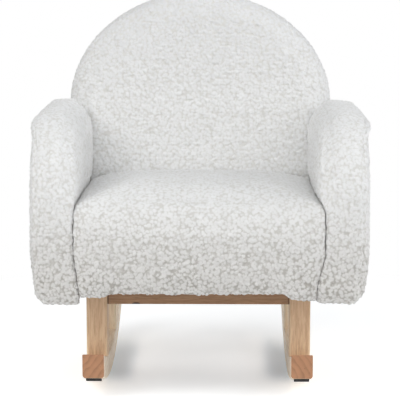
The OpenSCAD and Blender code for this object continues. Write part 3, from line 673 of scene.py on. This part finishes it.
def metal(name, color, dark, rough):
    """Metal with cloudy tarnish and fine scratches."""
    g = Graph(name)
    at = g.place()
    cloud = g.noise(at, 140.0, 3.0, 0.6)
    scratch = g.noise(g.scaled(at, 1.0, 0.1, 1.0), 2400.0, 2.0, 0.6)
    return g.surface(
        Base_Color=g.mix(g.ramp(cloud, 0.3, 0.75), color, dark), Metallic=1.0,
        Roughness=g.ramp(scratch, 0.3, 0.7, rough - 0.08, rough + 0.12),
        Normal=g.bump(scratch, 0.0001, 0.4),
    )


def webbing():
    """Dark woven straps inside the back."""
    g = Graph("woven_webbing")
    x, _, z = g.xyz(g.place())
    warp, weft = (g.math("SINE", g.math("MULTIPLY", v, 2600.0)) for v in (x, z))
    weave = g.math("MULTIPLY", warp, weft)
    color = g.mix(g.ramp(weave, -1.0, 1.0), (0.035, 0.035, 0.04), (0.10, 0.10, 0.11))
    return g.surface(Base_Color=color, Roughness=0.85, Normal=g.bump(weave, 0.0004, 0.8))


def dust_fabric():
    """Black non-woven cloth with its grid of bonded dots."""
    g = Graph("black_nonwoven")
    at = g.place()
    fibres = g.noise(at, 900.0, 4.0, 0.65, 2.0)
    dots = g.voronoi(at, 620.0, 0.15)
    color = g.mix(g.ramp(fibres, 0.35, 0.7), (0.010, 0.010, 0.011), (0.035, 0.035, 0.037))
    color = g.mix(g.ramp(dots, 0.25, 0.1, 0.0, 0.6), color, (0.006, 0.006, 0.006))
    height = g.math("ADD", fibres, g.ramp(dots, 0.1, 0.3, 0.0, 0.6))
    return g.surface(
        Base_Color=color, Roughness=0.9, Normal=g.bump(height, 0.0003, 0.6),
        Sheen_Weight=0.2, Sheen_Roughness=0.6,
    )


FLEECE, PLY, RUBBER, WEBBING, DUST = fleece(), plywood(), rubber(), webbing(), dust_fabric()
STEEL = metal("zinc_steel", (0.62, 0.63, 0.65), (0.45, 0.46, 0.48), 0.34)
BRASS = metal("turned_brass", (0.78, 0.60, 0.28), (0.62, 0.45, 0.18), 0.3)
LEG_END = (0.475, 0.24, 0.13)
LEG = wood(
    "beech_leg", 2, (1.0, 0.73, 0.485), (0.75, 0.46, 0.275), LEG_END, (0.26, 0.19), shade=0.5
)
# Painted light: the rear legs' timber is paler than the front legs', making up for the shade
# under the seat
REAR_LEG = wood(
    "beech_rear_leg", 2, (1.0, 0.83, 0.62), (0.88, 0.66, 0.45), LEG_END, (0.33, 0.27)
)
# Painted light: the rockers' timber is paler, making up for the shade on their inner sides under
# the seat
RUNNER = wood(
    "beech_runner", 1, (0.98, 0.85, 0.69), (0.85, 0.67, 0.49), (0.45, 0.225, 0.12), (0.0, 0.051),
    ring=0.0085,
)
# Painted shade: the front rail's timber is about half as bright as the legs', the seat's shadow
# over it
RAIL = wood(
    "beech_rail", 0, (0.44, 0.255, 0.138), (0.32, 0.168, 0.085), (0.42, 0.22, 0.12),
    (0.05, 0.02), ring=0.006, knot=(-0.098, RAIL_LO[1] * MM, RAIL_LO[2] * MM),
)
BEECH = dict(pale=(0.80, 0.56, 0.36), deep=(0.64, 0.40, 0.235), end=(0.52, 0.28, 0.155))
BIRCH = dict(pale=(0.74, 0.60, 0.42), deep=(0.62, 0.46, 0.29), end=(0.62, 0.46, 0.30))
BEECH_X = wood("beech_0", 0, shift=(0.05, 0.02), **BEECH)
BEECH_Y = wood("beech_1", 1, shift=(0.31, 0.05), **BEECH)
BIRCH_X = wood("birch_0", 0, shift=(0.05, -0.3), **BIRCH)
BIRCH_Y = wood("birch_1", 1, shift=(0.31, -0.3), **BIRCH)
BIRCH_Z = wood("birch_2", 2, shift=(0.26, 0.19), **BIRCH)

LOOKS = [
    (RUNNER, "rocker_left rocker_right"),
    (LEG, "front_leg_left front_leg_right"),
    (REAR_LEG, "rear_leg_left rear_leg_right"),
    (RAIL, "front_rail"),
    (BEECH_X, "rear_rail"),
    (BEECH_Y, "side_rail_left side_rail_right"),
    (BIRCH_X, "rail_dowels seat_frame_front seat_frame_rear"),
    (BIRCH_Y, "seat_frame_left seat_frame_right"),
    (BIRCH_Z, "leg_dowels seat_corner_blocks"),
    (PLY, "seat_deck back_frame arm_panel_left arm_panel_right"),
    (RUBBER, "stop_pads"),
    (WEBBING, "back_webbing"),
    (BRASS, "base_inserts"),
    (STEEL, "base_bolts base_washers back_bolts back_washers back_tee_nuts"),
    (STEEL, "arm_bolts arm_washers arm_tee_nuts"),
]
for look, names in LOOKS:
    for name in names.split():
        for held in nodes[name].material_slots:
            held.material = look


# The four upholstered blocks
FAR = 99.0  # stands for no seam nearby
DEGREES = 57.3  # in a radian


def seam_of(n, axis, turn, r):
    """Distance from the seam that runs where an edge of radius r has turned that many degrees
    away from its face, whose normal is axis."""
    facing = n @ np.array(axis)
    turned = np.degrees(np.arcsin(np.clip(facing, -1, 1)))
    return np.where(facing > 0, np.abs(turned - (90 - turn)) / DEGREES * r, FAR)


def against_seat(p, side, n):
    """1 on the part of an arm that the seat presses."""
    inner = smooth(0.75, 0.97, -side * n[:, 0])
    level = smooth(312, 286, p[:, 2]) * smooth(164, 178, p[:, 2])
    return inner * level * smooth(-246, -226, p[:, 1]) * smooth(60, 40, p[:, 1])


def seam_shift(p):
    """How far the seam between the seat and an arm runs inside its straight line: near its lower
    front end on both sides, while above that the right one swells out. Curls make it waver."""
    x, y, z = p.T
    inwards = np.where(x > 0, 5.5, 7.0) * smooth(240, 172, z) * smooth(-170, -235, y)
    outwards = 6.0 * (x > 0) * smooth(322, 290, z) * smooth(185, 232, z) * smooth(-110, -230, y)
    waver = 1.1 * noise(p * [0, 1, 1], 7, 900) * smooth(60, 20, y)
    return inwards - outwards + waver


def tuck(p):
    """Moves what lies near a seam between the seat and an arm along with it."""
    away = np.abs(np.abs(p[:, 0]) - ARM_LO[0])
    p[:, 0] -= np.sign(p[:, 0]) * seam_shift(p) * smooth(46, 8, away)


def touch(p, side, gap):
    """Keeps points of an arm (side -1 or 1), or of the seat (side 0), on their own side of the
    seam."""
    plane = CONTACT - seam_shift(p)
    if side:
        low = p[:, 2] < CONTACT_TOP
        p[low, 0] = side * np.maximum(side * p[low, 0], plane[low] + gap)
    else:
        p[:, 0] = np.clip(p[:, 0], gap - plane, plane - gap)


def build_arm(side):
    """The arm on one side, -1 or 1."""
    name = "left" if side < 0 else "right"
    obj = skin(f"arm_upholstery_{name}", arm_rings(side))
    remesh(obj, 4.0)
    p, n = points_of(obj.data), normals_of(obj.data)
    pressed = against_seat(p, side, n)
    inner = smooth(0.6, 0.99, -side * n[:, 0])
    bulge = 5.5 * inner * smooth(288, 325, p[:, 2]) * smooth(425, 385, p[:, 2])
    pull = n * (INSET * (1 - pressed) + 0.5 * pressed)[:, None]
    pull[:, 0] *= 1 - 0.85 * smooth(318, 300, p[:, 2]) * (side * n[:, 0] < 0)
    p -= pull
    p[:, 0] -= side * bulge
    # The outer face leans out, most at its shoulder, and is drawn in at its foot
    outer = smooth(212, 246, np.abs(p[:, 0]))
    low_out, flare = LEAN_OUT[side]
    shift = low_out + flare * smooth(398, 425, p[:, 2])
    shift -= 5.0 * smooth(240, 160, p[:, 2])
    p[:, 0] += side * outer * shift
    # The top is crowned, and the right arm's foot rises towards the front
    crown = 3.8 * np.clip((np.abs(p[:, 0]) - ARM_X) / 38, -1.2, 1.1) ** 2
    p[:, 2] -= (3.2 + 0.9 * side + crown) * smooth(392, 428, p[:, 2])
    p[:, 2] += (1.0 + side) * 1.5 * smooth(190, 160, p[:, 2]) * smooth(-150, -200, p[:, 1])
    tuck(p)
    touch(p, side, SEAM_GAP)
    set_points(obj.data, p)

    def seams(n):
        return np.minimum(seam_of(n, (side, 0, 0), 50, 23), seam_of(n, (-side, 0, 0), 50, 20))

    sewn = 0.8 * np.exp(-((seams(n) / 6) ** 2))
    inflate(obj, np.clip(sewn + pressed, 0, 1), 2.0)
    subdivide(obj)
    p, n = points_of(obj.data), normals_of(obj.data)
    quiet = np.clip(against_seat(p, side, n), 0, 1)
    fringe = smooth(176, 156, p[:, 2])
    add_pile(obj, 100 if side < 0 else 200, seams(n), quiet, fringe)
    p = points_of(obj.data)
    touch(p, side, CURL_GAP)
    set_points(obj.data, p)
    covered = [f"arm_cover_{name}", f"arm_foam_inner_{name}", f"arm_foam_outer_{name}"]
    padded_piece(obj, covered)


def lifted(y):
    """How far the seat's underside and the cloth on it rise towards the front edge."""
    return FRONT_LIFT * smooth(-212, -240, y)


def build_seat():
    """The seat, whose lower front corners hang over the legs."""
    obj = skin("seat_upholstery", seat_rings())
    remesh(obj, 4.3)
    p, n = points_of(obj.data), normals_of(obj.data)
    bottom = smooth(SEAT_FLOOR + 3, SEAT_FLOOR + 1, p[:, 2])
    sides = smooth(0.75, 0.97, np.abs(n[:, 0])) + smooth(0.75, 0.97, n[:, 1])
    sides = np.clip(sides, 0, 1)
    pull = n * (INSET * (1 - sides) + 0.4 * sides)[:, None]
    pull[:, 0] *= 1 - 0.85 * smooth(316, 290, p[:, 2])
    p = p - pull
    p[:, 2] = np.maximum(p[:, 2], SEAT_FLOOR) * (1 - bottom) + SEAT_FLOOR * bottom
    front = smooth(-228, -242, p[:, 1]) * smooth(200, 172, p[:, 2])
    lobe = smooth(126, 150, np.abs(p[:, 0])) * np.where(p[:, 0] > 0, 9.5, 7.0)
    p[:, 2] += lifted(p[:, 1]) * smooth(200, 172, p[:, 2])
    p[:, 2] += front * (0.2 - lobe + 0.8 * noise(p * [1, 0, 0], 34, 330))
    tuck(p)
    touch(p, 0, SEAM_GAP)
    set_points(obj.data, p)
    inflate(obj, np.clip(bottom + sides, 0, 1), CAP)
    subdivide(obj)
    p, n = points_of(obj.data), normals_of(obj.data)
    bottom = smooth(-0.8, -0.95, n[:, 2]) * (p[:, 2] < SEAT_FLOOR + 4)
    sides = smooth(0.8, 0.97, np.abs(n[:, 0])) + smooth(0.8, 0.97, n[:, 1])
    quiet = np.clip(bottom + sides, 0, 1)
    fringe = smooth(196, 176, p[:, 2]) * (1 - quiet) * 0.7
    add_pile(obj, 300, np.full(len(p), FAR), quiet, fringe)
    p = points_of(obj.data)
    p[:, 2] = np.maximum(p[:, 2], np.where(bottom > 0.5, SEAT_FLOOR - 0.1, -FAR))
    touch(p, 0, CURL_GAP)
    set_points(obj.data, p)
    padded_piece(obj, ["seat_cover", "seat_foam"])


def build_back():
    """The back, flat where the seat hides it."""
    obj = skin("back_upholstery", back_rings())
    remesh(obj, 4.3)
    p, n = points_of(obj.data), normals_of(obj.data)
    hidden = smooth(0.75, 0.97, n @ -REAR) * smooth(310, 280, p[:, 2])
    rim = 1 - np.abs(n @ REAR)
    fuller = (3.2 - 0.6 * np.sign(p[:, 0])) * 1.2 * rim * smooth(230, 300, p[:, 2])
    inset = (INSET - fuller) * (1 - hidden) + 1.0 * hidden
    set_points(obj.data, p - n * inset[:, None])
    sewn = 0.8 * np.exp(-((seam_of(n, REAR, 45, BACK_EDGE) / 7) ** 2))
    inflate(obj, np.clip(sewn + hidden, 0, 1), CAP)
    subdivide(obj)
    p, n = points_of(obj.data), normals_of(obj.data)
    quiet = smooth(0.8, 0.97, n @ -REAR) * smooth(300, 270, p[:, 2])
    fringe = smooth(195, 175, p[:, 2]) * 0.6
    add_pile(obj, 400, seam_of(n, REAR, 45, BACK_EDGE), quiet, fringe)
    padded_piece(obj, ["back_cover", "back_foam", "back_wadding"])


build_arm(-1)
build_arm(1)
build_seat()
build_back()


# The dust cloth under the seat
HEM_IN = 6  # how far inside its edge the staples sit


def build_dust_cloth():
    """The stretched cloth with its folded hem, a slight sag and ripples."""
    nx, ny = 86, 74
    xs, ys = np.linspace(DUST_LO[0], DUST_HI[0], nx), np.linspace(DUST_LO[1], DUST_HI[1], ny)
    x, y = (v.ravel() for v in np.meshgrid(xs, ys))
    edge = np.minimum(
        np.minimum(x - DUST_LO[0], DUST_HI[0] - x), np.minimum(y - DUST_LO[1], DUST_HI[1] - y)
    )
    flat = np.stack([x, y, np.zeros(len(x))], 1)
    sag = smooth(40, 130, edge) * 2.6
    ripple = noise(flat * [1, 0.35, 1], 26, 501) * 0.5 + noise(flat, 11, 502) * 0.18
    ripple *= smooth(2, 30, edge)
    hem = 0.45 * smooth(12.5, 11, edge)
    low = np.minimum(DUST_HI[2] - 0.5 - sag - ripple - hem, DUST_HI[2] - 0.35) + lifted(y)
    top = DUST_HI[2] - 0.05 - sag - ripple + lifted(y)
    points = np.concatenate([np.stack([x, y, low], 1), np.stack([x, y, top], 1)])
    half = nx * ny
    faces = []
    for j in range(ny - 1):
        for i in range(nx - 1):
            a = j * nx + i
            quad = (a, a + nx, a + nx + 1, a + 1)
            faces += [quad, tuple(half + k for k in quad[::-1])]
    rim = [j * nx for j in range(ny)] + [(ny - 1) * nx + i for i in range(1, nx)]
    rim += [j * nx + nx - 1 for j in range(ny - 2, -1, -1)] + list(range(nx - 2, 0, -1))
    for a, b in zip(rim, rim[1:] + rim[:1]):
        faces.append((b, a, half + a, half + b))
    obj = new_object("dust_cloth", points, faces, DUST)
    obj.data.shade_smooth()
    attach(obj, "root")
    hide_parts("dust_cover")
    return obj


def tube(path, r, sides=8):
    """Points and faces of a closed tube along a path."""
    path = np.array(path, float)
    points, faces = [], []
    for i, c in enumerate(path):
        d = path[min(i + 1, len(path) - 1)] - path[max(i - 1, 0)]
        d /= np.linalg.norm(d)
        s = np.cross(d, [0.0, 0.0, 1.0] if abs(d[2]) < 0.9 else [1.0, 0.0, 0.0])
        s /= np.linalg.norm(s)
        w = np.cross(d, s)
        for k in range(sides):
            a = 2 * math.pi * k / sides
            points.append(c + r * (math.cos(a) * s + math.sin(a) * w))
    for i in range(len(path) - 1):
        for k in range(sides):
            m = (k + 1) % sides
            near, far = i * sides, (i + 1) * sides
            faces.append((near + k, far + k, far + m, near + m))
    faces.append(tuple(range(sides)))
    faces.append(tuple(len(points) - 1 - k for k in range(sides)))
    return points, faces


def build_staples():
    """Wire staples through the folded hem of the dust cloth."""
    spots = []
    for x in np.arange(-150, 151, 50):
        spots += [(x, DUST_LO[1] + HEM_IN, 0), (x, DUST_HI[1] - HEM_IN, 0)]
    for y in np.arange(DUST_LO[1] + 42, DUST_HI[1] - 20, 52):
        spots += [(DUST_LO[0] + HEM_IN, y, 90), (DUST_HI[0] - HEM_IN, y, 90)]
    # A staple from the side: along its crown, and up into the frame
    shape = [(-5, 2), (-5, 0.4), (-4.6, 0), (-2, 0), (0, 0), (2, 0), (4.6, 0), (5, 0.4), (5, 2)]
    points, faces = [], []
    z = DUST_LO[2] - 0.4
    for k, (x, y, turn) in enumerate(spots):
        a = math.radians(turn + 14 * (rand(np.array([[k, 1, 2]]), 7)[0] - 0.5))
        c, s = math.cos(a), math.sin(a)
        path = [(x + u * c, y + u * s, z + w + float(lifted(y + u * s))) for u, w in shape]
        more, sides = tube(path, 0.35)
        faces += [tuple(i + len(points) for i in f) for f in sides]
        points += more
    obj = new_object("dust_cloth_staples", points, faces, STEEL)
    obj.data.shade_smooth()
    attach(obj, "root")
    return obj


dust = build_dust_cloth()
staples = build_staples()


# Floor, light and camera
def floor():
    """A white floor that keeps the chair's shadow. Near the chair a glow that only the camera,
    gloss and glass see lifts it to the backdrop's white. The glow is uneven by place, painted
    light
    and shade: stronger in front of and beside the chair, weaker behind it, and weaker and bluer
    in the dark strips beside the rockers, which paints a darker shadow there."""
    g = Graph("white_floor")
    at = g.place()
    ray = g.node("LightPath").outputs
    seen = g.math("MAXIMUM", ray["Is Glossy Ray"], ray["Is Transmission Ray"])
    seen = g.math("MAXIMUM", ray["Is Camera Ray"], seen)
    diffuse = g.node("BsdfDiffuse", {"Color": (0.9, 0.9, 0.9)}).outputs[0]
    x, y, _ = g.xyz(at)
    # Painted shadow: in two strips beside the rockers the glow is weaker and bluer
    across = g.math("ABSOLUTE", x)
    beside = g.math("MULTIPLY", g.ramp(across, 0.095, 0.128), g.ramp(across, 0.16, 0.145))
    along = g.math("MULTIPLY", g.ramp(y, 0.30, 0.05), g.ramp(y, -0.14, -0.04))
    beside = g.math("MULTIPLY", beside, along)
    # Painted light and shade: the glow is stronger in front of and beside the chair and weaker
    # behind it
    lift = g.math("ADD", 0.44, g.ramp(across, 0.145, 0.20, 0.0, 0.03))
    lift = g.math("ADD", lift, g.ramp(y, -0.10, -0.24, 0.0, 0.13))
    lift = g.math("SUBTRACT", lift, g.ramp(y, 0.08, 0.25, 0.0, 0.04))
    lift = g.math("MULTIPLY", lift, g.math("SUBTRACT", 1.0, g.math("MULTIPLY", beside, 0.54)))
    unseen = g.math("MULTIPLY", g.math("SUBTRACT", 1.0, seen), 0.19)
    strength = g.math("ADD", g.math("MULTIPLY", seen, lift), unseen)
    hue = g.mix(beside, (0.965, 0.985, 1.0), (0.70, 0.86, 1.0))
    glow = g.node("Emission", {"Color": hue, "Strength": strength}).outputs[0]
    near = g.node("AddShader", {0: diffuse, 1: glow}).outputs[0]
    white = g.node("Emission", {"Color": (1.0, 1.0, 1.0), "Strength": 1.0}).outputs[0]
    far = g.node("MixShader", {0: seen, 1: diffuse, 2: white}).outputs[0]
    shader = g.node("MixShader", {0: g.ramp(g.length(at), 0.45, 0.85), 1: near, 2: far})
    g.tree.links.new(shader.outputs[0], g.out.inputs[0])
    r = 30.0 / MM
    corners = [(-r, -r, 0), (r, -r, 0), (r, r, 0), (-r, r, 0)]
    new_object("floor", corners, [(0, 1, 2, 3)], g.mat)


def sky(strength):
    """A plain white world that the camera, gloss and glass see as pure white."""
    world = bpy.data.worlds.new("studio")
    world.use_nodes = True
    scene.world = world
    tree = world.node_tree
    tree.nodes.clear()
    ray = tree.nodes.new("ShaderNodeLightPath").outputs
    out = tree.nodes.new("ShaderNodeOutputWorld")
    seen = ray["Is Camera Ray"]
    for kind in ("Is Glossy Ray", "Is Transmission Ray"):
        either = tree.nodes.new("ShaderNodeMath")
        either.operation = "MAXIMUM"
        tree.links.new(seen, either.inputs[0])
        tree.links.new(ray[kind], either.inputs[1])
        seen = either.outputs[0]
    mix = tree.nodes.new("ShaderNodeMixShader")
    tree.links.new(seen, mix.inputs[0])
    for socket, level in ((1, strength), (2, 1.0)):
        light = tree.nodes.new("ShaderNodeBackground")
        light.inputs[0].default_value = (1, 1, 1, 1)
        light.inputs[1].default_value = level
        tree.links.new(light.outputs[0], mix.inputs[socket])
    tree.links.new(mix.outputs[0], out.inputs[0])


def area_light(name, at, aim_z, size, watts, color):
    """A rectangular lamp that points at the chair at height aim_z."""
    data = bpy.data.lights.new(name, "AREA")
    data.shape = "RECTANGLE"
    data.size, data.size_y = size
    data.energy = watts
    data.color = color
    obj = bpy.data.objects.new(name, data)
    obj.location = at
    aim = Vector((0, 0, aim_z)) - Vector(at)
    obj.rotation_euler = aim.to_track_quat("-Z", "Y").to_euler()
    scene.collection.objects.link(obj)


LAMPS = [
    ("left", (-1.9, -1.6, 2.4), 0.3, (1.8, 1.8), 37, (1.0, 0.995, 0.98)),
    ("right", (1.9, -1.6, 2.4), 0.3, (1.8, 1.8), 16.5, (1.0, 1.0, 0.995)),
    ("left_side", (-3.0, -0.4, 1.3), 0.3, (1.8, 1.8), 7, (0.99, 0.995, 1.0)),
    ("right_side", (3.0, -0.4, 1.3), 0.3, (1.8, 1.8), 34, (0.975, 0.985, 1.0)),
    ("front", (0.0, -3.0, 1.85), 0.3, (2.0, 2.0), 8, (1.0, 1.0, 0.99)),
    ("front_low", (0.0, -3.4, 0.8), 0.3, (2.4, 1.2), 18, (1.0, 1.0, 0.985)),
    ("top", (0.0, -0.3, 2.8), 0.2, (2.4, 2.4), 13, (0.90, 0.95, 1.0)),
    ("rear", (0.0, 2.8, 2.0), 0.3, (2.4, 2.0), 24, (1.0, 1.0, 1.0)),
]

floor()
sky(0.12)
for lamp in LAMPS:
    area_light(*lamp)
scene.view_settings.view_transform = "Standard"

PITCH, YAW = 8.516, 0.761
camera = bpy.data.objects.new("camera", bpy.data.cameras.new("camera"))
camera.data.lens = 154.81
camera.data.sensor_width = 36
camera.data.clip_end = 100
camera.location = (0.0378, -2.7795, 0.6926)
camera.rotation_euler = (math.radians(90 - PITCH), 0, math.radians(YAW))
scene.collection.objects.link(camera)
scene.camera = camera
